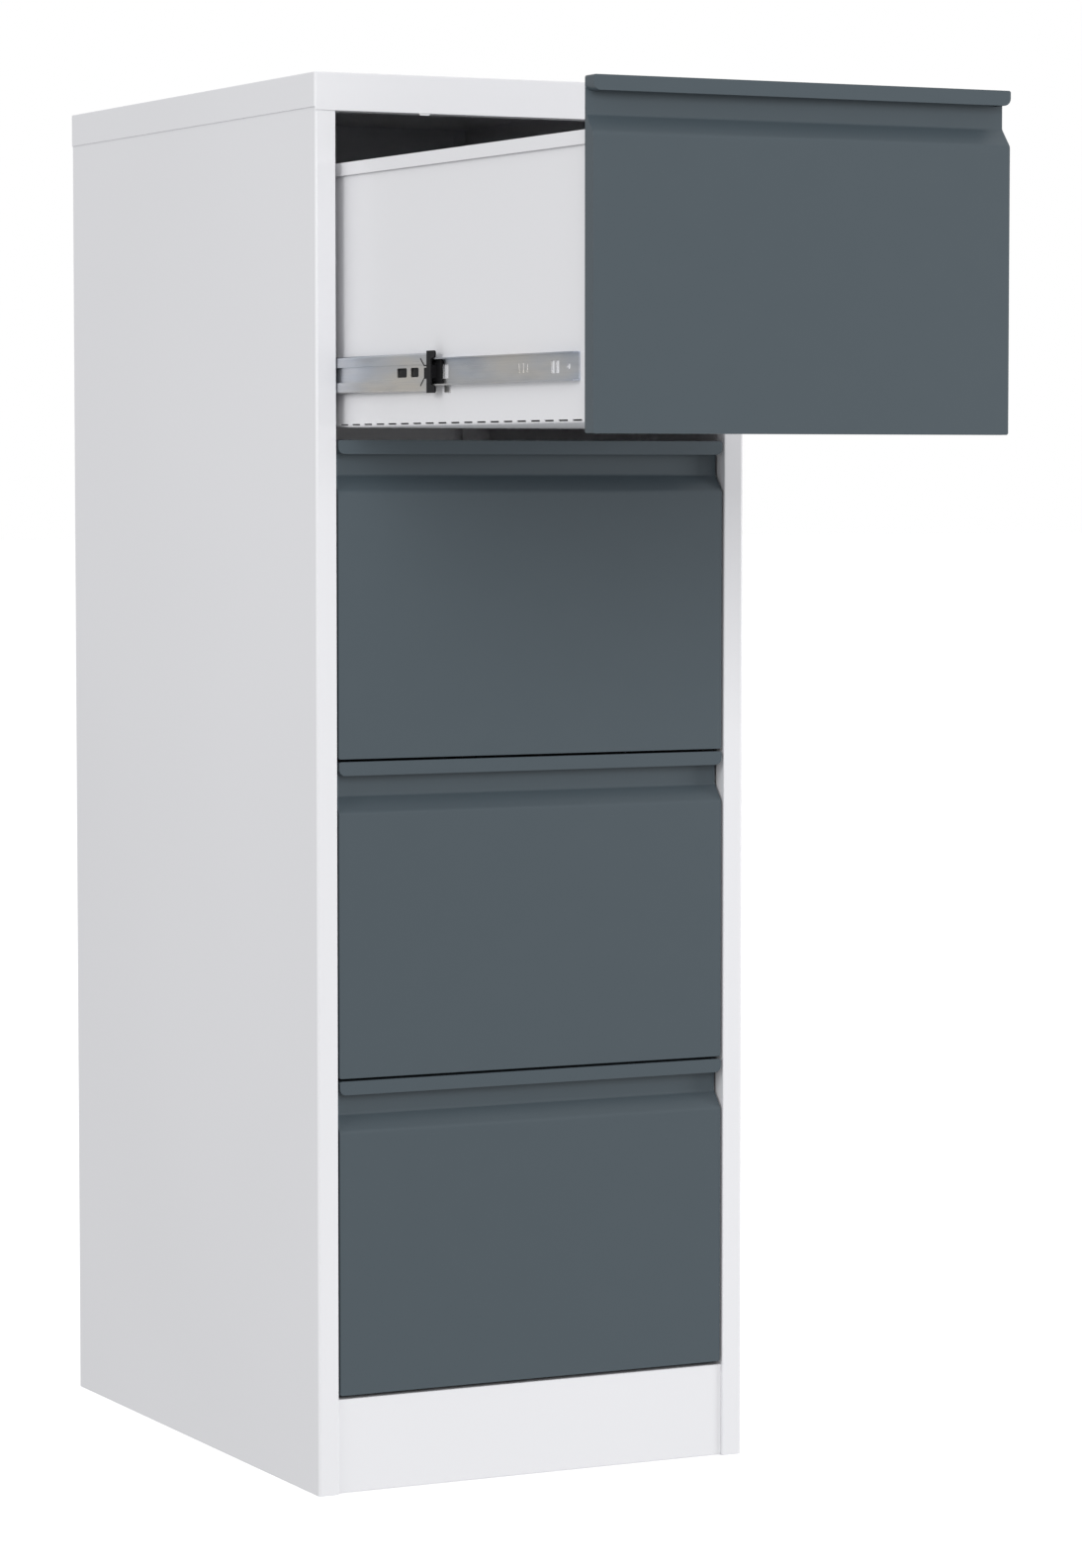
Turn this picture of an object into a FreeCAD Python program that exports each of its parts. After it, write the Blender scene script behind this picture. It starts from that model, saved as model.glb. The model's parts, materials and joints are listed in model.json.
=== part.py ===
import FreeCAD, Part
import math
import os
import re
import Sketcher
from FreeCAD import Vector

# Four-drawer vertical filing cabinet in folded sheet steel, in millimetres.
# X runs to the right seen from the front, Y runs to the back and Z runs up. The origin is on the floor,
# at the centre of the carcass's footprint. The top drawer stands open, the other three are closed.

SIZES = {
    # carcass
    "width": 452,
    "depth": 620,
    "height": 1330,
    "skin": 1,
    "fold_radius": 2.5,
    "stile_width": 20.5,
    "stile_return": 16,
    "rear_flange": 15,
    "cap_front": 35,
    "cap_side": 32,
    "cap_return": 20,
    "nub_offset": 109,
    "nub_width": 11,
    "nub_drop": 1.8,
    "nub_round": 1.5,
    "plinth_top": 90,
    "plinth_lift": 0.8,
    "plinth_setback": 3,
    "plinth_shelf": 30,
    "plinth_lip": 12,
    "plinth_round": 0.8,
    "seam": 0.2,
    "base_rim": 20,
    "upright_width": 34,
    "upright_wall": 1.2,
    "upright_lift": 25,
    "upright_drop": 10,
    "front_upright_setback": 26,
    "rear_upright_setback": 28,
    "rivet_radius": 2.4,
    "rivet_head_radius": 4,
    "rivet_head": 0.8,
    "rivet_clearance": 0.1,
    "rivet_inset": 13.5,
    # drawers
    "drawer_count": 4,
    "bay_pitch": 300,
    "sill_gap": 3.5,
    "opened": 518.5,
    # drawer front, seen from the side
    "front_width": 406.6,
    "front_height": 297.5,
    "front_depth": 15,
    "front_setback": 1.5,
    "lip_height": 13,
    "lip_proud": 1,
    "lip_plug": 7.5,
    "lip_round": 6.5,
    "recess_depth": 13,
    "recess_end": 32.5,
    "bevel_end": 48,
    "bevel_offset": 0.5,
    "bevel_radius": 4,
    "corner_round": 2,
    # drawer tray
    "tray_width": 392,
    "tray_length": 560,
    "tray_drop": 44,
    "tray_lift": 9,
    "rim_width": 2.5,
    "rim_height": 12,
    "bend_radius": 3,
    "slot_count": 20,
    "slot_length": 17.5,
    "slot_pitch": 26.5,
    "slot_width": 1.3,
    "slot_height": 2.5,
    "back_drop": 25,
    "back_flange": 15,
    "liner_lift": 3.8,
    # telescopic slides
    "slide_space": 12.7,
    "slide_height": 57,
    "slide_setback": 37.5,
    "slide_length": 550,
    "slide_wall": 1.2,
    "outer_half": 22.75,
    "outer_lip": 3.5,
    "middle_half": 17,
    "middle_lip": 1.5,
    "middle_face": 8.8,
    "middle_round": 2.5,
    "middle_setback": 62.5,
    "middle_length": 495,
    "middle_share": 0.5,
    "channel_half": 7,
    "channel_depth": 2.4,
    "window_half": 4.2,
    "front_window": 22,
    "front_window_end": 39,
    "rear_window": 47,
    "rear_window_end": 68,
    "window_round": 2,
    "inner_half": 12.25,
    "inner_reach": 7.2,
    "hole_setback": 19,
    "hole_radius": 3,
    "twin_slot": 37,
    "twin_slot_length": 6.5,
    "twin_slot_pitch": 8.5,
    "twin_slot_half": 5.5,
    "catch_slot": 255,
    "catch_slot_length": 12,
    "catch_slot_half": 6.3,
    "catch_tab": 252.5,
    "catch_length": 11,
    "catch_drop": 6.4,
    "lance_start": 97,
    "lance_pitch": 8,
    "lance_count": 3,
    "lance_width": 2.4,
    "lance_half": 4,
    "lance_rise": 0.35,
    # plastic end piece of the middle member
    "bumper_length": 17,
    "bumper_half": 18.8,
    "bumper_inner": 7.6,
    "bumper_waist": 9,
    "bumper_waist_half": 11.5,
    "bumper_lobe": 6,
    "bumper_round": 2.5,
    "nose_length": 3,
    "nose_half": 10.4,
    "nose_low": 2.2,
    "nose_high": 3.8,
    "tongue_length": 75,
    "tongue_half": 6,
    "tongue_low": 2.6,
    "tongue_high": 4.8,
    "clip_skin": 0.3,
    "clip_width": 1.2,
    "clip_reach": 13,
    "clip_low": 5,
    "clip_high": 11.5,
    "clip_pad": 5,
}

FORMULAS = {
    "front_plane": "-depth / 2",
    "rear_plane": "depth / 2",
    "wall_face": "width / 2 - skin",
    "opening_half": "width / 2 - stile_width",
    "carcass_top": "height - skin",
    "face_plane": "front_plane + front_setback",
    "lip_bottom": "front_height - lip_height",
    "recess_bottom": "front_height - recess_end",
    "bevel_bottom": "front_height - bevel_end",
    "tray_half": "tray_width / 2",
    "tray_height": "front_height - tray_drop - tray_lift",
    "back_height": "tray_height - back_drop",
    "slide_face": "tray_half + slide_space",
    "rivet_plane": "slide_face - slide_wall",
    "slot_start": "(tray_length - slot_pitch * (slot_count - 1) - slot_length) / 2",
}

SIDES = {"left": -1, "right": 1}
DRAWERS = range(1, SIZES["drawer_count"] + 1)

doc = FreeCAD.newDocument("FilingCabinet")
sheet = doc.addObject("Spreadsheet::Sheet", "Sizes")
nodes = []


def fill_sheet():
    """Put every driving dimension in the sheet under its own name."""
    for row, (name, value) in enumerate(SIZES.items(), start=1):
        sheet.set(f"A{row}", name)
        sheet.set(f"B{row}", str(value))
        sheet.setAlias(f"B{row}", name)
    doc.recompute()


def rule(formula):
    """Spell out a formula, so that every size in it is a reference to the sheet."""

    def spell(match):
        word = match.group()
        if word in FORMULAS:
            return f"({rule(FORMULAS[word])})"
        return f"Sizes.{word}"

    return re.sub(r"[a-z][a-z_]+", spell, str(formula))


def place(thing, x=0, y=0, z=0):
    """Bind the position of an object to three formulas."""
    for axis, formula in (("x", x), ("y", y), ("z", z)):
        thing.setExpression(f"Placement.Base.{axis}", rule(formula))


def add_node(kind, label):
    """Add an object that is a sub-part of its own, and keep it in the list of sub-parts."""
    node = doc.addObject(kind, label)
    node.Label = label
    nodes.append(node)
    return node


def add_box(label, length, width, height):
    """Add a plate of three bound sizes as a sub-part."""
    box = add_node("Part::Box", label)
    box.setExpression("Length", rule(length))
    box.setExpression("Width", rule(width))
    box.setExpression("Height", rule(height))
    return box


def origin_feature(body, role):
    """Find a plane or an axis of the body's own origin."""
    return next(feature for feature in body.Origin.OriginFeatures if feature.Role == role)


def add_sketch(body, name, plane, lift=0):
    """Attach a sketch to one of the body's own planes, lifted off it by a formula."""
    sketch = body.newObject("Sketcher::SketchObject", name)
    sketch.AttachmentSupport = [(origin_feature(body, plane), "")]
    sketch.MapMode = "FlatFace"
    sketch.setExpression("AttachmentOffset.Base.z", rule(lift))
    return sketch


def pin(sketch, kind, geometry, point, rough, formula):
    """Fix one coordinate of a sketch point, measured from the sketch's origin."""
    constraint = sketch.addConstraint(Sketcher.Constraint(kind, -1, 1, geometry, point, rough))
    sketch.setExpression(f"Constraints[{constraint}]", rule(formula))


def draw_outline(sketch, corners):
    """Draw a closed chain of straight edges with its corners at the given formulas."""
    first = sketch.GeometryCount
    count = len(corners)
    turns = [math.tau * step / count for step in range(count)]
    rough = [Vector(math.cos(turn), math.sin(turn), 0) for turn in turns]
    for step in range(count):
        sketch.addGeometry(Part.LineSegment(rough[step], rough[(step + 1) % count]), False)
    for step, (across, along) in enumerate(corners):
        edge = first + step
        following = first + (step + 1) % count
        sketch.addConstraint(Sketcher.Constraint("Coincident", edge, 2, following, 1))
        pin(sketch, "DistanceX", edge, 1, rough[step].x, across)
        pin(sketch, "DistanceY", edge, 1, rough[step].y, along)


def draw_rectangle(sketch, low_x, low_y, high_x, high_y):
    """Draw a rectangle between two corners."""
    draw_outline(sketch, [(low_x, low_y), (high_x, low_y), (high_x, high_y), (low_x, high_y)])


def draw_circle(sketch, x, y, radius):
    """Draw a circle with its centre and radius at the given formulas."""
    circle = sketch.addGeometry(Part.Circle(Vector(1, 1, 0), Vector(0, 0, 1), 1), False)
    pin(sketch, "DistanceX", circle, 3, 1, x)
    pin(sketch, "DistanceY", circle, 3, 1, y)
    constraint = sketch.addConstraint(Sketcher.Constraint("Radius", circle, 1))
    sketch.setExpression(f"Constraints[{constraint}]", rule(radius))


def pad(body, sketch, length, reverse=False, centred=False):
    """Raise a sketch into solid metal."""
    feature = body.newObject("PartDesign::Pad", f"{sketch.Name}Pad")
    feature.Profile = sketch
    feature.Reversed = reverse
    feature.Midplane = centred
    feature.setExpression("Length", rule(length))
    return feature


def volume_of(body):
    """Bring the body up to date and measure it."""
    doc.recompute()
    return body.Shape.Volume


def pocket(body, sketch, depth=None, reverse=False):
    """Cut a sketch out of the body, to a depth or right through both ways, and check that metal goes."""
    before = volume_of(body)
    feature = body.newObject("PartDesign::Pocket", f"{sketch.Name}Pocket")
    feature.Profile = sketch
    feature.Reversed = reverse
    if depth is None:
        feature.Type = "ThroughAll"
        feature.Midplane = True
    else:
        feature.setExpression("Length", rule(depth))
    if volume_of(body) >= before:
        raise RuntimeError(f"{body.Label}: {sketch.Name} cuts nothing")
    return feature


def repeat(body, feature, axis, count, reach):
    """Repeat a feature in a straight row."""
    pattern = body.newObject("PartDesign::LinearPattern", f"{feature.Name}Row")
    pattern.Originals = [feature]
    pattern.Direction = (origin_feature(body, axis), [""])
    pattern.setExpression("Length", rule(reach))
    pattern.setExpression("Occurrences", rule(count))
    body.Tip = pattern


def mirror(body, feature, plane):
    """Repeat a feature on the other side of one of the body's own planes."""
    mirrored = body.newObject("PartDesign::Mirrored", f"{feature.Name}Mirror")
    mirrored.Originals = [feature]
    mirrored.MirrorPlane = (origin_feature(body, plane), [""])
    body.Tip = mirrored


def round_edges(body, radius, wanted):
    """Round the edges that a test picks by their direction and their middle."""
    doc.recompute()
    base = body.Tip
    names = []
    for number, edge in enumerate(base.Shape.Edges, start=1):
        way = edge.tangentAt(edge.FirstParameter)
        if isinstance(edge.Curve, Part.Line) and wanted(way, edge.CenterOfMass):
            names.append(f"Edge{number}")
    if not names:
        raise RuntimeError(f"{body.Label}: no edge to round")
    fillet = body.newObject("PartDesign::Fillet", "Round")
    fillet.Base = (base, names)
    fillet.setExpression("Radius", rule(radius))


def near(value, target):
    """Tell whether two lengths agree to a hundredth of a millimetre."""
    return abs(value - target) < 0.01


# Carcass


def make_side_panel(name, side):
    """Side panel, folded round at the front into the stile and its return, and at the back into a flange."""
    body = add_node("PartDesign::Body", f"{name}_side_panel")
    section = add_sketch(body, "PanelSection", "XY_Plane")
    plan = [
        ("width / 2", "front_plane"),
        ("width / 2", "rear_plane - skin"),
        ("width / 2 - rear_flange", "rear_plane - skin"),
        ("width / 2 - rear_flange", "rear_plane - 2 * skin"),
        ("wall_face", "rear_plane - 2 * skin"),
        ("wall_face", "front_plane + skin"),
        ("opening_half + skin", "front_plane + skin"),
        ("opening_half + skin", "front_plane + stile_return"),
        ("opening_half", "front_plane + stile_return"),
        ("opening_half", "front_plane"),
    ]
    draw_outline(section, [(f"{side} * ({across})", along) for across, along in plan])
    pad(body, section, "carcass_top")
    half = SIZES["width"] / 2
    front = -SIZES["depth"] / 2
    skin = SIZES["skin"]
    inner_edge = half - SIZES["stile_width"]
    round_edges(
        body,
        "fold_radius",
        lambda way, middle: near(abs(way.z), 1) and near(abs(middle.x), half) and near(middle.y, front),
    )
    round_edges(
        body,
        "fold_radius - skin",
        lambda way, middle: near(abs(way.z), 1)
        and near(abs(middle.x), half - skin)
        and near(middle.y, front + skin),
    )
    round_edges(
        body,
        "skin",
        lambda way, middle: near(abs(way.z), 1) and near(abs(middle.x), inner_edge) and near(middle.y, front),
    )


def make_back_panel():
    """Flat back sheet on the side panels' rear flanges."""
    back = add_box(
        "back_panel",
        "2 * wall_face - 2 * skin",
        "skin",
        "carcass_top - plinth_lift - skin",
    )
    place(back, "skin - wall_face", "rear_plane - skin", "plinth_lift")


def make_top_cap():
    """Lid with skirts all round, and a deeper front one that folds back in, with two stop nubs under it."""
    body = add_node("PartDesign::Body", "top_cap")
    outside = add_sketch(body, "CapOutside", "XY_Plane")
    half = "width / 2 + skin"
    deep = "depth / 2 + skin"
    draw_rectangle(outside, f"-({half})", f"-({deep})", half, deep)
    pad(body, outside, "cap_front")
    side = SIZES["width"] / 2
    top = SIZES["cap_front"]
    round_edges(
        body,
        "fold_radius",
        lambda way, middle: near(abs(way.z), 1) and abs(middle.x) > side,
    )
    round_edges(
        body,
        "skin",
        lambda way, middle: near(way.z, 0) and near(middle.z, top),
    )
    inside = add_sketch(body, "CapInside", "XY_Plane")
    draw_rectangle(inside, "-width / 2", "front_plane", "width / 2", "rear_plane")
    pocket(body, inside, "cap_front - skin", reverse=True)
    step = add_sketch(body, "SkirtStep", "XY_Plane")
    draw_rectangle(step, f"-({half}) - skin", "front_plane", f"{half} + skin", f"{deep} + skin")
    pocket(body, step, "cap_front - cap_side", reverse=True)
    fold = add_sketch(body, "FrontFold", "XY_Plane")
    fold_half = "opening_half - seam"
    draw_rectangle(fold, f"-({fold_half})", "front_plane", fold_half, "front_plane + cap_return")
    pad(body, fold, "skin")
    nub = add_sketch(body, "StopNub", "XZ_Plane", "depth / 2")
    draw_rectangle(nub, "nub_offset", "-nub_drop", "nub_offset + nub_width", "skin")
    mirror(body, pad(body, nub, "skin", reverse=True), "YZ_Plane")
    foot = -SIZES["nub_drop"]
    round_edges(
        body,
        "nub_round",
        lambda way, middle: near(abs(way.y), 1) and near(middle.z, foot),
    )
    place(body, z="height - cap_front")


def make_base_panel():
    """Flat floor sheet with a low rim folded up all round."""
    body = add_node("PartDesign::Body", "base_panel")
    block = add_sketch(body, "BaseBlock", "XY_Plane")
    front = "front_plane + stile_return"
    rear = "rear_plane - 2 * skin"
    draw_rectangle(block, "-(wall_face)", front, "wall_face", rear)
    pad(body, block, "base_rim")
    hollow = add_sketch(body, "BaseHollow", "XY_Plane", "skin")
    draw_rectangle(hollow, "skin - wall_face", f"{front} + skin", "wall_face - skin", f"{rear} - skin")
    pocket(body, hollow, "base_rim", reverse=True)


def make_plinth():
    """Kick plate between the stiles, folded back at its top and its foot."""
    body = add_node("PartDesign::Body", "plinth")
    section = add_sketch(body, "PlinthSection", "YZ_Plane")
    face = "front_plane + plinth_setback"
    corners = [
        (face, "plinth_lift"),
        (f"{face} + plinth_lip", "plinth_lift"),
        (f"{face} + plinth_lip", "plinth_lift + skin"),
        (f"{face} + skin", "plinth_lift + skin"),
        (f"{face} + skin", "plinth_top - skin"),
        (f"{face} + plinth_shelf", "plinth_top - skin"),
        (f"{face} + plinth_shelf", "plinth_top"),
        (face, "plinth_top"),
    ]
    draw_outline(section, corners)
    pad(body, section, "2 * (opening_half - seam)", centred=True)
    round_edges(
        body,
        "plinth_round",
        lambda way, middle: near(abs(way.x), 1) and near(middle.y, body.Shape.BoundBox.YMin),
    )


def make_upright(name, side, end, front_edge):
    """Channel up the inside of a side panel, with a hole for each slide's rivet."""
    body = add_node("PartDesign::Body", f"upright_{end}_{name}")
    section = add_sketch(body, "UprightSection", "XY_Plane")
    rear_edge = f"{front_edge} + upright_width"
    plan = [
        ("slide_face", front_edge),
        ("wall_face", front_edge),
        ("wall_face", f"{front_edge} + upright_wall"),
        ("slide_face + upright_wall", f"{front_edge} + upright_wall"),
        ("slide_face + upright_wall", f"{rear_edge} - upright_wall"),
        ("wall_face", f"{rear_edge} - upright_wall"),
        ("wall_face", rear_edge),
        ("slide_face", rear_edge),
    ]
    draw_outline(section, [(f"{side} * ({across})", along) for across, along in plan])
    pad(body, section, "height - cap_front - upright_drop - upright_lift")
    hole = add_sketch(body, "RivetHole", "YZ_Plane")
    level = f"{floor_of(len(DRAWERS))} + slide_height - upright_lift"
    draw_circle(hole, rivet_line(end), level, "rivet_radius + rivet_clearance")
    cut = pocket(body, hole)
    repeat(body, cut, "Z_Axis", "drawer_count", "bay_pitch * (drawer_count - 1)")
    place(body, z="upright_lift")


def rivet_line(end):
    """Distance of a slide's front or rear rivet from the cabinet's middle, along Y."""
    if end == "front":
        return "face_plane + slide_setback + rivet_inset"
    return "face_plane + slide_setback + slide_length - rivet_inset"


def make_rivets():
    """Every rivet that holds a slide to an upright: a shank with a head at each end."""
    pieces = []
    for side in SIDES.values():
        for end in ("front", "rear"):
            for drawer in DRAWERS:
                pieces.append(make_rivet(side, rivet_line(end), f"{floor_of(drawer)} + slide_height"))
    rivets = add_node("Part::MultiFuse", "slide_rivets")
    rivets.Shapes = pieces


def make_rivet(side, y, z):
    """One rivet along X through a slide's wall and an upright's wall."""
    grip = "slide_wall + upright_wall"
    parts = [
        ("rivet_head_radius", "rivet_head", "rivet_plane - rivet_head"),
        ("rivet_radius", grip, "rivet_plane"),
        ("rivet_head_radius", "rivet_head", f"rivet_plane + {grip}"),
    ]
    cylinders = []
    for radius, length, start in parts:
        cylinder = doc.addObject("Part::Cylinder", "RivetPart")
        cylinder.Placement.Rotation = FreeCAD.Rotation(Vector(0, 0, 1), Vector(side, 0, 0))
        cylinder.setExpression("Radius", rule(radius))
        cylinder.setExpression("Height", rule(length))
        place(cylinder, f"{side} * ({start})", y, z)
        cylinders.append(cylinder)
    rivet = doc.addObject("Part::MultiFuse", "Rivet")
    rivet.Shapes = cylinders
    return rivet


# Drawers: drawer 1 is the top one. Each is drawn with the front's face at Y = 0 and its foot at Z = 0.


def floor_of(drawer):
    """Height of the foot of a drawer's front."""
    return f"plinth_top + sill_gap + bay_pitch * (drawer_count - {drawer})"


def travel_of(drawer, share=1):
    """How far a drawer, or a slide member that takes a share of its travel, stands forward."""
    if drawer == 1:
        return f"{share} * opened"
    return "0"


def place_in_drawer(thing, drawer, share=1, x="0", y="0", z="0"):
    """Place a sub-part by its position in its drawer."""
    place(
        thing,
        x,
        f"face_plane - {travel_of(drawer, share)} + {y}",
        f"{floor_of(drawer)} + {z}",
    )


def make_front(drawer):
    """Front shell folded from one sheet: face, bevel, finger recess, top and lip, with closed ends."""
    body = add_node("PartDesign::Body", f"drawer_front_{drawer}")
    shell_depth = "front_depth - skin"
    section = add_sketch(body, "FrontSection", "YZ_Plane")
    corners = [
        (shell_depth, "0"),
        ("0", "0"),
        ("0", "bevel_bottom"),
        ("recess_depth", "recess_bottom"),
        ("recess_depth", "front_height - skin"),
        ("0", "front_height - skin"),
        ("0", "lip_bottom"),
        ("-lip_proud", "lip_bottom"),
        ("-lip_proud", "front_height"),
        (shell_depth, "front_height"),
        (shell_depth, "recess_bottom - bevel_offset"),
        ("skin", "bevel_bottom - bevel_offset"),
        ("skin", "skin"),
        (shell_depth, "skin"),
    ]
    draw_outline(section, corners)
    pad(body, section, "front_width", centred=True)
    returns = add_sketch(body, "SideReturn", "YZ_Plane", "front_width / 2 - skin")
    side_corners = [
        ("0", "0"),
        ("0", "bevel_bottom"),
        ("recess_depth", "recess_bottom"),
        (shell_depth, "recess_bottom"),
        (shell_depth, "0"),
    ]
    draw_outline(returns, side_corners)
    mirror(body, pad(body, returns, "skin"), "YZ_Plane")
    plug = add_sketch(body, "LipEnd", "YZ_Plane", "front_width / 2 - lip_plug")
    draw_rectangle(plug, "-lip_proud", "lip_bottom", "recess_depth", "front_height")
    mirror(body, pad(body, plug, "lip_plug"), "YZ_Plane")
    half = SIZES["front_width"] / 2
    lip_bottom = SIZES["front_height"] - SIZES["lip_height"]
    bends = (
        ("bevel_radius + skin", 0, SIZES["bevel_end"]),
        ("bevel_radius", SIZES["recess_depth"], SIZES["recess_end"]),
    )
    for radius, depth, drop in bends:
        level = SIZES["front_height"] - drop
        round_edges(
            body,
            radius,
            lambda way, middle: near(abs(way.x), 1) and near(middle.y, depth) and near(middle.z, level),
        )
    round_edges(
        body,
        "lip_round",
        lambda way, middle: near(abs(way.y), 1) and near(abs(middle.x), half) and near(middle.z, lip_bottom),
    )
    ends = (0, SIZES["front_height"])
    round_edges(
        body,
        "corner_round",
        lambda way, middle: near(abs(way.y), 1)
        and near(abs(middle.x), half)
        and any(near(middle.z, end) for end in ends),
    )
    place_in_drawer(body, drawer)


def make_liner(drawer):
    """Flat sheet that closes the back of the front shell."""
    body = add_node("PartDesign::Body", f"drawer_liner_{drawer}")
    outline = add_sketch(body, "LinerOutline", "XZ_Plane")
    draw_rectangle(outline, "-front_width / 2", "0", "front_width / 2", "front_height")
    pad(body, outline, "skin", reverse=True)
    round_edges(body, "corner_round", lambda way, middle: near(abs(way.y), 1))
    place_in_drawer(body, drawer, y="front_depth - skin")


def make_tray(drawer):
    """Drawer floor and sides in one folded sheet, with hemmed rims and a slotted bend along each foot."""
    body = add_node("PartDesign::Body", f"drawer_tray_{drawer}")
    section = add_sketch(body, "TraySection", "XZ_Plane")
    right = [
        ("tray_half", "0"),
        ("tray_half", "tray_height - skin"),
        ("tray_half + rim_width - skin", "tray_height - skin"),
        ("tray_half + rim_width - skin", "tray_height - rim_height"),
        ("tray_half + rim_width", "tray_height - rim_height"),
        ("tray_half + rim_width", "tray_height"),
        ("tray_half - skin", "tray_height"),
        ("tray_half - skin", "skin"),
    ]
    left = [(f"-({across})", up) for across, up in reversed(right)]
    draw_outline(section, right + left)
    pad(body, section, "tray_length", reverse=True)
    half = SIZES["tray_width"] / 2
    skin = SIZES["skin"]
    round_edges(
        body,
        "bend_radius",
        lambda way, middle: near(abs(way.y), 1) and near(abs(middle.x), half) and near(middle.z, 0),
    )
    round_edges(
        body,
        "bend_radius - skin",
        lambda way, middle: near(abs(way.y), 1) and near(abs(middle.x), half - skin) and near(middle.z, skin),
    )
    slot = add_sketch(body, "BendSlot", "YZ_Plane")
    low = "slot_height - slot_width / 2"
    draw_rectangle(slot, "slot_start", low, "slot_start + slot_length", f"{low} + slot_width")
    cut = pocket(body, slot)
    repeat(body, cut, "Y_Axis", "slot_count", "slot_pitch * (slot_count - 1)")
    place_in_drawer(body, drawer, y="front_depth", z="tray_lift")


def make_tray_back(drawer):
    """Back of the drawer, flanged forward against each side, in one piece with the raised inner floor."""
    body = add_node("PartDesign::Body", f"drawer_back_{drawer}")
    section = add_sketch(body, "BackSection", "XY_Plane")
    half = "(tray_half - skin)"
    plan = [
        (half, "0"),
        (f"-{half}", "0"),
        (f"-{half}", "-back_flange"),
        (f"skin - {half}", "-back_flange"),
        (f"skin - {half}", "-skin"),
        (f"{half} - skin", "-skin"),
        (f"{half} - skin", "-back_flange"),
        (half, "-back_flange"),
    ]
    draw_outline(section, plan)
    pad(body, section, "back_height - liner_lift")
    liner = add_sketch(body, "InnerFloor", "XY_Plane")
    draw_rectangle(liner, f"-{half}", "-tray_length", half, "0")
    pad(body, liner, "skin")
    place_in_drawer(body, drawer, y="front_depth + tray_length", z="tray_lift + liner_lift")


# Slides: each member's section is drawn by its distance out from the tray's side and its height off the
# slide's centre line, and runs back from its front end.


def slide_body(label, side, corners, length):
    """Roll one slide member from its section."""
    body = add_node("PartDesign::Body", label)
    section = add_sketch(body, "SlideSection", "XZ_Plane")
    draw_outline(section, [(f"{side} * ({out})", up) for out, up in corners])
    pad(body, section, length, reverse=True)
    return body


def place_slide(body, drawer, side, share, setback):
    """Place a slide member beside its tray."""
    place_in_drawer(body, drawer, share, f"{side} * tray_half", setback, "slide_height")


def make_outer_member(drawer, name, side):
    """Cabinet member: a channel open towards the tray, riveted to the uprights."""
    corners = [
        ("slide_space", "outer_half"),
        ("slide_space", "-outer_half"),
        ("outer_lip", "-outer_half"),
        ("outer_lip", "slide_wall - outer_half"),
        ("slide_space - slide_wall", "slide_wall - outer_half"),
        ("slide_space - slide_wall", "outer_half - slide_wall"),
        ("outer_lip", "outer_half - slide_wall"),
        ("outer_lip", "outer_half"),
    ]
    body = slide_body(f"cabinet_rail_{name}_{drawer}", side, corners, "slide_length")
    holes = add_sketch(body, "RivetHoles", "YZ_Plane")
    draw_circle(holes, "rivet_inset", "0", "rivet_radius + rivet_clearance")
    draw_circle(holes, "slide_length - rivet_inset", "0", "rivet_radius + rivet_clearance")
    pocket(body, holes)
    place_slide(body, drawer, side, 0, "slide_setback")


def make_middle_member(drawer, name, side):
    """Middle member: a channel open towards the tray, its web pressed in along the middle."""
    inner_face = "middle_face - slide_wall"
    upper = [
        ("middle_lip", "middle_half"),
        ("middle_face", "middle_half"),
        ("middle_face", "channel_half"),
        ("middle_face - channel_depth", "channel_half"),
    ]
    upper_inside = [
        (f"{inner_face} - channel_depth", "channel_half + slide_wall"),
        (inner_face, "channel_half + slide_wall"),
        (inner_face, "middle_half - slide_wall"),
        ("middle_lip", "middle_half - slide_wall"),
    ]
    lower = [(out, f"-({up})") for out, up in reversed(upper)]
    lower_inside = [(out, f"-({up})") for out, up in reversed(upper_inside)]
    corners = upper + lower + lower_inside + upper_inside
    body = slide_body(f"middle_rail_{name}_{drawer}", side, corners, "middle_length")
    face = SIZES["middle_face"]
    half = SIZES["middle_half"]
    wall = SIZES["slide_wall"]
    round_edges(
        body,
        "middle_round",
        lambda way, middle: near(abs(middle.x), face) and near(abs(middle.z), half),
    )
    round_edges(
        body,
        "middle_round - slide_wall",
        lambda way, middle: near(abs(middle.x), face - wall) and near(abs(middle.z), half - wall),
    )
    windows = add_sketch(body, "Windows", "YZ_Plane")
    draw_rectangle(windows, "front_window", "-window_half", "front_window_end", "window_half")
    draw_rectangle(windows, "rear_window", "-window_half", "rear_window_end", "window_half")
    pocket(body, windows)
    sill = SIZES["window_half"]
    round_edges(
        body,
        "window_round",
        lambda way, middle: near(abs(way.x), 1) and near(abs(middle.z), sill),
    )
    place_slide(body, drawer, side, "middle_share", "middle_setback")


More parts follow.
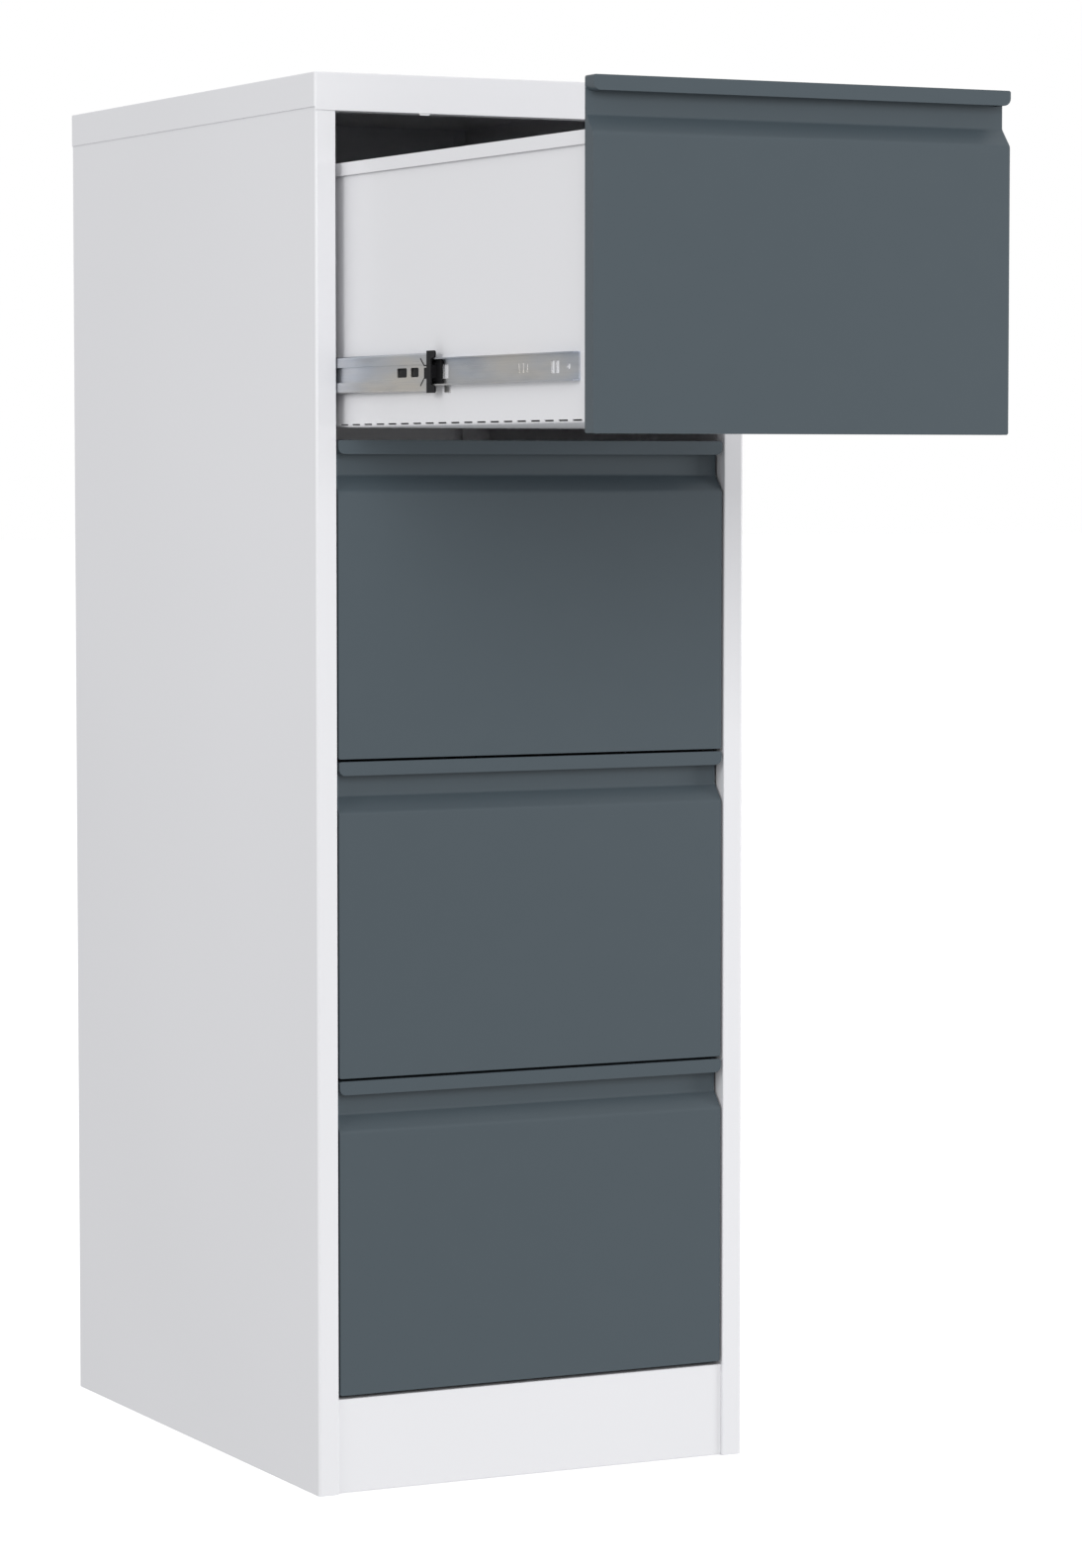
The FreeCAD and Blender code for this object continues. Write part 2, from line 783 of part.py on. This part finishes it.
def make_inner_member(drawer, name, side):
    """Drawer member: a narrow channel open away from the tray, with slots, a hole, a catch and ribs."""
    corners = [
        ("0", "inner_half"),
        ("inner_reach", "inner_half"),
        ("inner_reach", "inner_half - slide_wall"),
        ("slide_wall", "inner_half - slide_wall"),
        ("slide_wall", "slide_wall - inner_half"),
        ("inner_reach", "slide_wall - inner_half"),
        ("inner_reach", "-inner_half"),
        ("0", "-inner_half"),
    ]
    body = slide_body(f"drawer_rail_{name}_{drawer}", side, corners, "slide_length")
    slots = add_sketch(body, "Slots", "YZ_Plane")
    for start in ("twin_slot", "twin_slot + twin_slot_pitch"):
        draw_rectangle(slots, start, "-twin_slot_half", f"{start} + twin_slot_length", "twin_slot_half")
    catch_end = "catch_slot + catch_slot_length"
    draw_rectangle(slots, "catch_slot", "-catch_slot_half", catch_end, "catch_slot_half")
    draw_circle(slots, "hole_setback", "0", "hole_radius")
    pocket(body, slots)
    catch = add_sketch(body, "Catch", "YZ_Plane")
    foot = "-inner_half - catch_drop"
    draw_rectangle(catch, "catch_tab", foot, "catch_tab + catch_length", "slide_wall - inner_half")
    pad(body, catch, "slide_wall", reverse=side < 0)
    lance = add_sketch(body, "Lance", "YZ_Plane", f"{side} * slide_wall")
    draw_rectangle(lance, "lance_start", "-lance_half", "lance_start + lance_width", "lance_half")
    rib = pad(body, lance, "lance_rise", reverse=side < 0)
    repeat(body, rib, "Y_Axis", "lance_count", "lance_pitch * (lance_count - 1)")
    place_slide(body, drawer, side, 1, "slide_setback")


def make_bumper(drawer, name, side):
    """Plastic end piece on the middle member: two lobes on a waisted spine, a nose, a tongue and clips."""
    body = add_node("PartDesign::Body", f"rail_bumper_{name}_{drawer}")
    spine = add_sketch(body, "Spine", "YZ_Plane", f"{side} * bumper_inner")
    upper = [
        ("0", "bumper_half"),
        ("-bumper_length", "bumper_half"),
        ("-bumper_length", "bumper_half - bumper_lobe"),
        ("-bumper_waist", "bumper_waist_half"),
    ]
    lower = [(along, f"-({up})") for along, up in reversed(upper)]
    draw_outline(spine, upper + lower)
    pad(body, spine, "middle_face + clip_skin - bumper_inner", reverse=side < 0)
    round_edges(
        body,
        "bumper_round",
        lambda way, middle: near(middle.y, -SIZES["bumper_length"]) and near(abs(way.x), 1),
    )
    blocks = [
        ("Nose", "nose", "-bumper_length - nose_length", "0"),
        ("Tongue", "tongue", "-bumper_waist", "tongue_length"),
    ]
    for label, size, front, rear in blocks:
        block = add_sketch(body, label, "YZ_Plane", f"{side} * {size}_low")
        draw_rectangle(block, front, f"-{size}_half", rear, f"{size}_half")
        pad(body, block, f"{size}_high - {size}_low", reverse=side < 0)
    neck = add_sketch(body, "Neck", "YZ_Plane", f"{side} * nose_low")
    draw_rectangle(neck, "-bumper_waist", "-tongue_half", "0", "tongue_half")
    pad(body, neck, "middle_face - nose_low", reverse=side < 0)
    clips = add_sketch(body, "Clips", "YZ_Plane", f"{side} * middle_face")
    for sign in (1, -1):
        hook = [
            ("-bumper_waist", f"{sign} * clip_low"),
            ("clip_low", f"{sign} * clip_low"),
            ("clip_reach", f"{sign} * clip_high"),
            ("clip_reach", f"{sign} * (clip_high + clip_width)"),
            ("clip_low", f"{sign} * (clip_low + clip_width)"),
            ("-bumper_waist", f"{sign} * (clip_low + clip_width)"),
        ]
        draw_outline(clips, hook)
    draw_rectangle(clips, "-bumper_waist", "-clip_pad", "clip_pad", "clip_pad - clip_width")
    pad(body, clips, "clip_skin", reverse=side < 0)
    place_slide(body, drawer, side, "middle_share", "middle_setback")


def make_cabinet():
    """Every sub-part of the carcass and the four drawers."""
    for name, side in SIDES.items():
        make_side_panel(name, side)
    make_back_panel()
    make_top_cap()
    make_base_panel()
    make_plinth()
    for name, side in SIDES.items():
        make_upright(name, side, "front", "front_plane + front_upright_setback")
        make_upright(name, side, "rear", "rear_plane - rear_upright_setback - upright_width")
    make_rivets()
    for drawer in DRAWERS:
        make_front(drawer)
        make_liner(drawer)
        make_tray(drawer)
        make_tray_back(drawer)
        for name, side in SIDES.items():
            make_outer_member(drawer, name, side)
            make_middle_member(drawer, name, side)
            make_inner_member(drawer, name, side)
            make_bumper(drawer, name, side)


def check_document():
    """Stop at any object that failed, and at any sub-part without a sound solid."""
    doc.recompute()
    for thing in doc.Objects:
        if {"Invalid", "Error"} & set(thing.State):
            raise RuntimeError(f"{thing.Label} failed: {thing.State}")
    for node in nodes:
        if node.Shape.isNull() or not node.Shape.isValid() or not node.Shape.Solids:
            raise RuntimeError(f"{node.Label} is not a sound solid")


def write_parts():
    """Write each sub-part to a STEP file of its own."""
    os.makedirs("parts", exist_ok=True)
    for node in nodes:
        node.Shape.exportStep(f"parts/{node.Label}.step")
        print(f"{node.Label}: {len(node.Shape.Solids)} solids, {node.Shape.Volume / 1000:.1f} cm3")


fill_sheet()
make_cabinet()
check_document()
write_parts()
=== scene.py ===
import json
import math

import bpy
from mathutils import Euler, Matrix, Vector


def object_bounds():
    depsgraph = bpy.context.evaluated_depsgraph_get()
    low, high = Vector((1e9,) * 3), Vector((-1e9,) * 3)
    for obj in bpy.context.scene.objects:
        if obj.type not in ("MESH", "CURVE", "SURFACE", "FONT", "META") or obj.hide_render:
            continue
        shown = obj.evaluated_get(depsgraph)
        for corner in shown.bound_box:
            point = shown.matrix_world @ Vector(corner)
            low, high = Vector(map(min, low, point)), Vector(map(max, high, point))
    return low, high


# Four-drawer steel filing cabinet: white powder-coated carcass and trays, grey fronts, zinc-plated slides.
# Lengths are in metres, in the row frame: X to the right, Y to the back, Z up, the origin on the floor.

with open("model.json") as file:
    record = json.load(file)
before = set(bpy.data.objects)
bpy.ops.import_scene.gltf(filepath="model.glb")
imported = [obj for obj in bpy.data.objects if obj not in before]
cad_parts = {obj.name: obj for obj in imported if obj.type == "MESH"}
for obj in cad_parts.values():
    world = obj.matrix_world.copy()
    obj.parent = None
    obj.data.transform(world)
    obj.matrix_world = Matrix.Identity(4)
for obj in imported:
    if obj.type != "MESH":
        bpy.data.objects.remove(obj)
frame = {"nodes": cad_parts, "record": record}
CAD_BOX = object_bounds()
MM = 0.001

# Colours are linear RGB.
WHITE_COAT = (0.795, 0.795, 0.815)
GREY_COAT = (0.0625, 0.0835, 0.0980)
ZINC_COOL = (0.60, 0.65, 0.73)
ZINC_WARM = (0.80, 0.75, 0.67)
BLACK_PLASTIC = (0.006, 0.006, 0.007)
FLOOR = (0.93, 0.93, 0.93)
GLOW = (1.0, 1.0, 1.0, 1.0)
ROOM_LIGHT = (0.985, 0.99, 1.0, 1.0)
BACKDROP = (1.0, 1.0, 1.0, 1.0)

# Noise, in cells to a metre, with its number of finer layers.
COAT_DRIFT = {"scale": 2.2, "detail": 1.0}
COAT_GLOSS = {"scale": 35.0, "detail": 3.0}
ORANGE_PEEL = {"scale": 650.0, "detail": 2.0}
MOULD_GRAIN = {"scale": 1400.0, "detail": 2.0}
PAPER_GRAIN = {"scale": 60.0, "detail": 2.0}
# The steel's noise is drawn out along the slide, which is Y.
# Tint clouds: blue and straw zinc colour, and also a painted sheen where the lighter warm colour shows.
ZINC_TINT_AND_SHEEN = {"scale": 16.0, "detail": 3.0, "stretch": (1.0, 0.3, 1.6)}
# Patches along the slide where the steel turns a darker grey.
ZINC_DARK_PATCHES = {"scale": 30.0, "detail": 4.0, "stretch": (1.0, 0.25, 1.5)}
ROLLING_LINES = {"scale": 900.0, "detail": 2.0, "stretch": (1.0, 0.01, 1.0)}

# Roughness: the coats' middle values and how far they swing, and the others' lowest and highest.
WHITE_ROUGHNESS = 0.34
GREY_ROUGHNESS = 0.38
COAT_SWING = 0.03
ZINC_ROUGHNESS = (0.22, 0.4)
PLASTIC_ROUGHNESS = (0.38, 0.55)
PAPER_ROUGHNESS = (0.5, 0.6)

# Shades, as factors on a colour.
COAT_SHADES = (0.975, 1.025)
PLASTIC_SHADES = (0.8, 1.4)
PAPER_SHADE = 0.995
DULL_SHADE = 0.6

# The steel's tint clouds, which also paint a sheen, and its darker patches: the part of the noise that is
# used, and the most that a darker patch or line covers.
TINT_AND_SHEEN_RANGE = (0.36, 0.64)
DARK_PATCH_RANGE = (0.5, 0.75)
DARK_PATCH_COVER = 0.6
LINE_COVER = 0.3
ZINC_METALLIC = 0.92

# Specular levels.
COAT_SPECULAR = 0.5
PLASTIC_SPECULAR = 0.15

# Bump: the height of the relief, how much of it shows, and the radius that edges are shaded to.
PEEL_BUMP = {"distance": 0.02 * MM, "strength": 0.35, "edge": 0.5 * MM}
LINE_BUMP = {"distance": 0.01 * MM, "strength": 0.4, "edge": 0.3 * MM}
GRAIN_BUMP = {"distance": 0.02 * MM, "strength": 0.5, "edge": 0.3 * MM}
EDGE_SAMPLES = 4

FLOOR_REACH = 60.0
FLOOR_GLOW = 0.42

# The room's strength against how steeply a ray goes up or down, as the size of its Z.
ROOM_RAMP = {"From Min": 0.25, "From Max": 0.9, "To Min": 0.49, "To Max": 0.82}
BACKDROP_STRENGTH = 1.0

# Soft lights round the cabinet: azimuth from the front and elevation in degrees, distance, side and watts.
SOFTBOXES = {
    "front_key": {"azimuth": -16, "elevation": 18, "distance": 9.0, "size": 3.5, "power": 255},
    "right_key": {"azimuth": 66, "elevation": 2, "distance": 9.0, "size": 3.0, "power": 380},
    "left_key": {"azimuth": -72, "elevation": 22, "distance": 7.0, "size": 3.0, "power": 125},
}

# The camera: its place, its angles in degrees, and its lens and sensor in millimetres.
CAMERA_PLACE = (-2.0544, -4.4303, 0.9614)
CAMERA_DOWN = 3.683
CAMERA_HEADING = -26.578
CAMERA_LENS = 111.3
CAMERA_SENSOR = 36.0
CAMERA_CLIP = 100.0


class Graph:
    """A material's node tree, with short ways to add nodes and join them."""

    def __init__(self, name):
        self.material = bpy.data.materials.new(name)
        self.material.use_nodes = True
        self.tree = self.material.node_tree
        self.shader = self.tree.nodes["Principled BSDF"]

    def add(self, kind, **settings):
        """Add a node with these properties."""
        node = self.tree.nodes.new(kind)
        for name, value in settings.items():
            setattr(node, name, value)
        return node

    def feed(self, node, **inputs):
        """Set or link inputs by name, with _ for a space; iN picks input N, counted from 0."""
        for name, value in inputs.items():
            numbered = name[1:].isdigit()
            socket = node.inputs[int(name[1:]) if numbered else name.replace("_", " ")]
            if isinstance(value, bpy.types.NodeSocket):
                self.tree.links.new(value, socket)
            else:
                socket.default_value = value
        return node

    def place(self):
        """The point on the object, in the row frame."""
        return self.add("ShaderNodeTexCoord").outputs["Object"]

    def times(self, first, second):
        """The product of two numbers."""
        node = self.add("ShaderNodeMath", operation="MULTIPLY")
        return self.feed(node, i0=first, i1=second).outputs[0]

    def noise(self, scale, detail, stretch=(1.0, 1.0, 1.0)):
        """Noise with this many cells to a metre, drawn out along an axis where stretch is small."""
        mapping = self.feed(self.add("ShaderNodeMapping"), Vector=self.place(), Scale=stretch)
        node = self.add("ShaderNodeTexNoise")
        return self.feed(node, Vector=mapping.outputs[0], Scale=scale, Detail=detail).outputs["Fac"]

    def spread(self, factor, low, high, start=0.0, end=1.0):
        """Carry a factor from one range, 0 to 1 unless given, to another."""
        node = self.feed(self.add("ShaderNodeMapRange"), From_Min=start, From_Max=end)
        return self.feed(node, Value=factor, To_Min=low, To_Max=high).outputs[0]

    def mix(self, factor, first, second):
        """Mix two colours."""
        node = self.add("ShaderNodeMix", data_type="RGBA")
        return self.feed(node, i0=factor, i6=opaque(first), i7=opaque(second)).outputs[2]

    def bump(self, height, distance, strength, edge):
        """Raise a height into the surface's normal, over edges shaded to a radius."""
        node = self.feed(self.add("ShaderNodeBump"), Height=height, Distance=distance, Strength=strength)
        soft = self.feed(self.add("ShaderNodeBevel", samples=EDGE_SAMPLES), Radius=edge)
        self.feed(node, Normal=soft.outputs[0])
        self.feed(self.shader, Normal=node.outputs[0])


def opaque(colour):
    """A colour with full alpha, or a linked colour as it is."""
    return colour if isinstance(colour, bpy.types.NodeSocket) else (*colour, 1.0)


def shade(colour, factor):
    """A colour made lighter or darker."""
    return tuple(channel * factor for channel in colour)


def powder_coat(name, colour, roughness):
    """Baked powder coat: a faint orange peel, and slow changes of shade and gloss over a sheet."""
    graph = Graph(name)
    darker, lighter = COAT_SHADES
    paint = graph.mix(graph.noise(**COAT_DRIFT), shade(colour, darker), shade(colour, lighter))
    gloss = graph.spread(graph.noise(**COAT_GLOSS), roughness - COAT_SWING, roughness + COAT_SWING)
    graph.feed(graph.shader, Base_Color=paint, Roughness=gloss, Specular_IOR_Level=COAT_SPECULAR)
    graph.bump(graph.noise(**ORANGE_PEEL), **PEEL_BUMP)
    return graph.material


def zinc_steel():
    """Rolled zinc-plated strip: fine lines along the slide, over clouds of blue and straw tint that also
    paint a sheen, and darker grey patches.
    """
    graph = Graph("zinc_plated_steel")
    # Clouds of blue and straw tint, which also paint a lighter sheen on the steel.
    tint_and_sheen = graph.spread(graph.noise(**ZINC_TINT_AND_SHEEN), 0.0, 1.0, *TINT_AND_SHEEN_RANGE)
    # Patches where the steel turns a darker grey.
    dark_patches = graph.spread(graph.noise(**ZINC_DARK_PATCHES), 0.0, DARK_PATCH_COVER, *DARK_PATCH_RANGE)
    lines = graph.noise(**ROLLING_LINES)
    dull = shade(ZINC_COOL, DULL_SHADE)
    darkened = graph.mix(dark_patches, graph.mix(tint_and_sheen, ZINC_COOL, ZINC_WARM), dull)
    metal = graph.mix(graph.times(lines, LINE_COVER), darkened, dull)
    gloss = graph.spread(lines, *ZINC_ROUGHNESS)
    graph.feed(graph.shader, Base_Color=metal, Roughness=gloss, Metallic=ZINC_METALLIC)
    graph.bump(lines, **LINE_BUMP)
    return graph.material


def moulded_plastic():
    """Black moulded plastic with a fine spark-eroded grain."""
    graph = Graph("black_plastic")
    grain = graph.noise(**MOULD_GRAIN)
    darker, lighter = PLASTIC_SHADES
    tone = graph.mix(grain, shade(BLACK_PLASTIC, darker), shade(BLACK_PLASTIC, lighter))
    gloss = graph.spread(grain, *PLASTIC_ROUGHNESS)
    graph.feed(graph.shader, Base_Color=tone, Roughness=gloss, Specular_IOR_Level=PLASTIC_SPECULAR)
    graph.bump(grain, **GRAIN_BUMP)
    return graph.material


def plain_floor():
    """Pale seamless studio paper, with a weak glow that brings it up to the backdrop's white."""
    graph = Graph("studio_floor")
    grain = graph.noise(**PAPER_GRAIN)
    tone = graph.mix(grain, shade(FLOOR, PAPER_SHADE), FLOOR)
    graph.feed(graph.shader, Base_Color=tone, Roughness=graph.spread(grain, *PAPER_ROUGHNESS))
    graph.feed(graph.shader, Emission_Color=GLOW, Emission_Strength=FLOOR_GLOW)
    return graph.material


def dress_nodes():
    """Give every CAD node the finish of its material slot."""
    finishes = {
        "white_powder_coat": powder_coat("white_powder_coat", WHITE_COAT, WHITE_ROUGHNESS),
        "grey_powder_coat": powder_coat("grey_powder_coat", GREY_COAT, GREY_ROUGHNESS),
        "zinc_steel": zinc_steel(),
        "black_plastic": moulded_plastic(),
    }
    for entry in frame["record"]["subparts"]:
        mesh = frame["nodes"][entry["node"]].data
        mesh.materials.clear()
        mesh.materials.append(finishes[entry["material_slot"]])


def make_floor():
    """A wide level sheet under the cabinet, which neither lights the cabinet nor shows in its gloss."""
    mesh = bpy.data.meshes.new("studio_floor")
    corners = [
        (-FLOOR_REACH, -FLOOR_REACH, 0),
        (FLOOR_REACH, -FLOOR_REACH, 0),
        (FLOOR_REACH, FLOOR_REACH, 0),
        (-FLOOR_REACH, FLOOR_REACH, 0),
    ]
    mesh.from_pydata(corners, [], [(0, 1, 2, 3)])
    mesh.materials.append(plain_floor())
    floor = bpy.data.objects.new("studio_floor", mesh)
    bpy.context.collection.objects.link(floor)
    floor.visible_diffuse = False
    floor.visible_glossy = False


def add_softbox(name, azimuth, elevation, distance, size, power):
    """A square soft light aimed at the middle of the CAD box."""
    light = bpy.data.lights.new(name, "AREA")
    light.shape = "SQUARE"
    light.size = size
    light.energy = power
    lamp = bpy.data.objects.new(name, light)
    bpy.context.collection.objects.link(lamp)
    turn = math.radians(azimuth)
    lift = math.radians(elevation)
    back = Vector((math.sin(turn) * math.cos(lift), -math.cos(turn) * math.cos(lift), math.sin(lift)))
    middle = (CAD_BOX[0] + CAD_BOX[1]) / 2
    lamp.location = middle + back * distance
    lamp.rotation_euler = (-back).to_track_quat("-Z", "Y").to_euler()


def light_room():
    """Room light that is stronger from above and below, with a plain white backdrop for the camera."""
    world = bpy.data.worlds.new("studio")
    world.use_nodes = True
    tree = world.node_tree
    add = tree.nodes.new
    join = tree.links.new
    split = add("ShaderNodeSeparateXYZ")
    join(add("ShaderNodeTexCoord").outputs["Generated"], split.inputs[0])
    steepness = add("ShaderNodeMath")
    steepness.operation = "ABSOLUTE"
    join(split.outputs["Z"], steepness.inputs[0])
    ramp = add("ShaderNodeMapRange")
    for name, value in ROOM_RAMP.items():
        ramp.inputs[name].default_value = value
    join(steepness.outputs[0], ramp.inputs["Value"])
    room = tree.nodes["Background"]
    join(ramp.outputs[0], room.inputs["Strength"])
    room.inputs["Color"].default_value = ROOM_LIGHT
    backdrop = add("ShaderNodeBackground")
    backdrop.inputs["Color"].default_value = BACKDROP
    backdrop.inputs["Strength"].default_value = BACKDROP_STRENGTH
    switch = add("ShaderNodeMixShader")
    join(add("ShaderNodeLightPath").outputs["Is Camera Ray"], switch.inputs[0])
    join(room.outputs[0], switch.inputs[1])
    join(backdrop.outputs[0], switch.inputs[2])
    join(switch.outputs[0], tree.nodes["World Output"].inputs["Surface"])
    bpy.context.scene.world = world


def set_camera():
    """The viewing angle: from the front left, a little above the middle, through a long lens."""
    camera = bpy.data.cameras.new("camera")
    camera.sensor_width = CAMERA_SENSOR
    camera.lens = CAMERA_LENS
    camera.clip_end = CAMERA_CLIP
    holder = bpy.data.objects.new("camera", camera)
    bpy.context.collection.objects.link(holder)
    holder.location = CAMERA_PLACE
    pitch = math.radians(90 - CAMERA_DOWN)
    holder.rotation_euler = Euler((pitch, 0.0, math.radians(CAMERA_HEADING)), "XYZ")
    bpy.context.scene.camera = holder


dress_nodes()
make_floor()
light_room()
for box_name, softbox in SOFTBOXES.items():
    add_softbox(box_name, **softbox)
set_camera()
bpy.context.scene.view_settings.view_transform = "Standard"
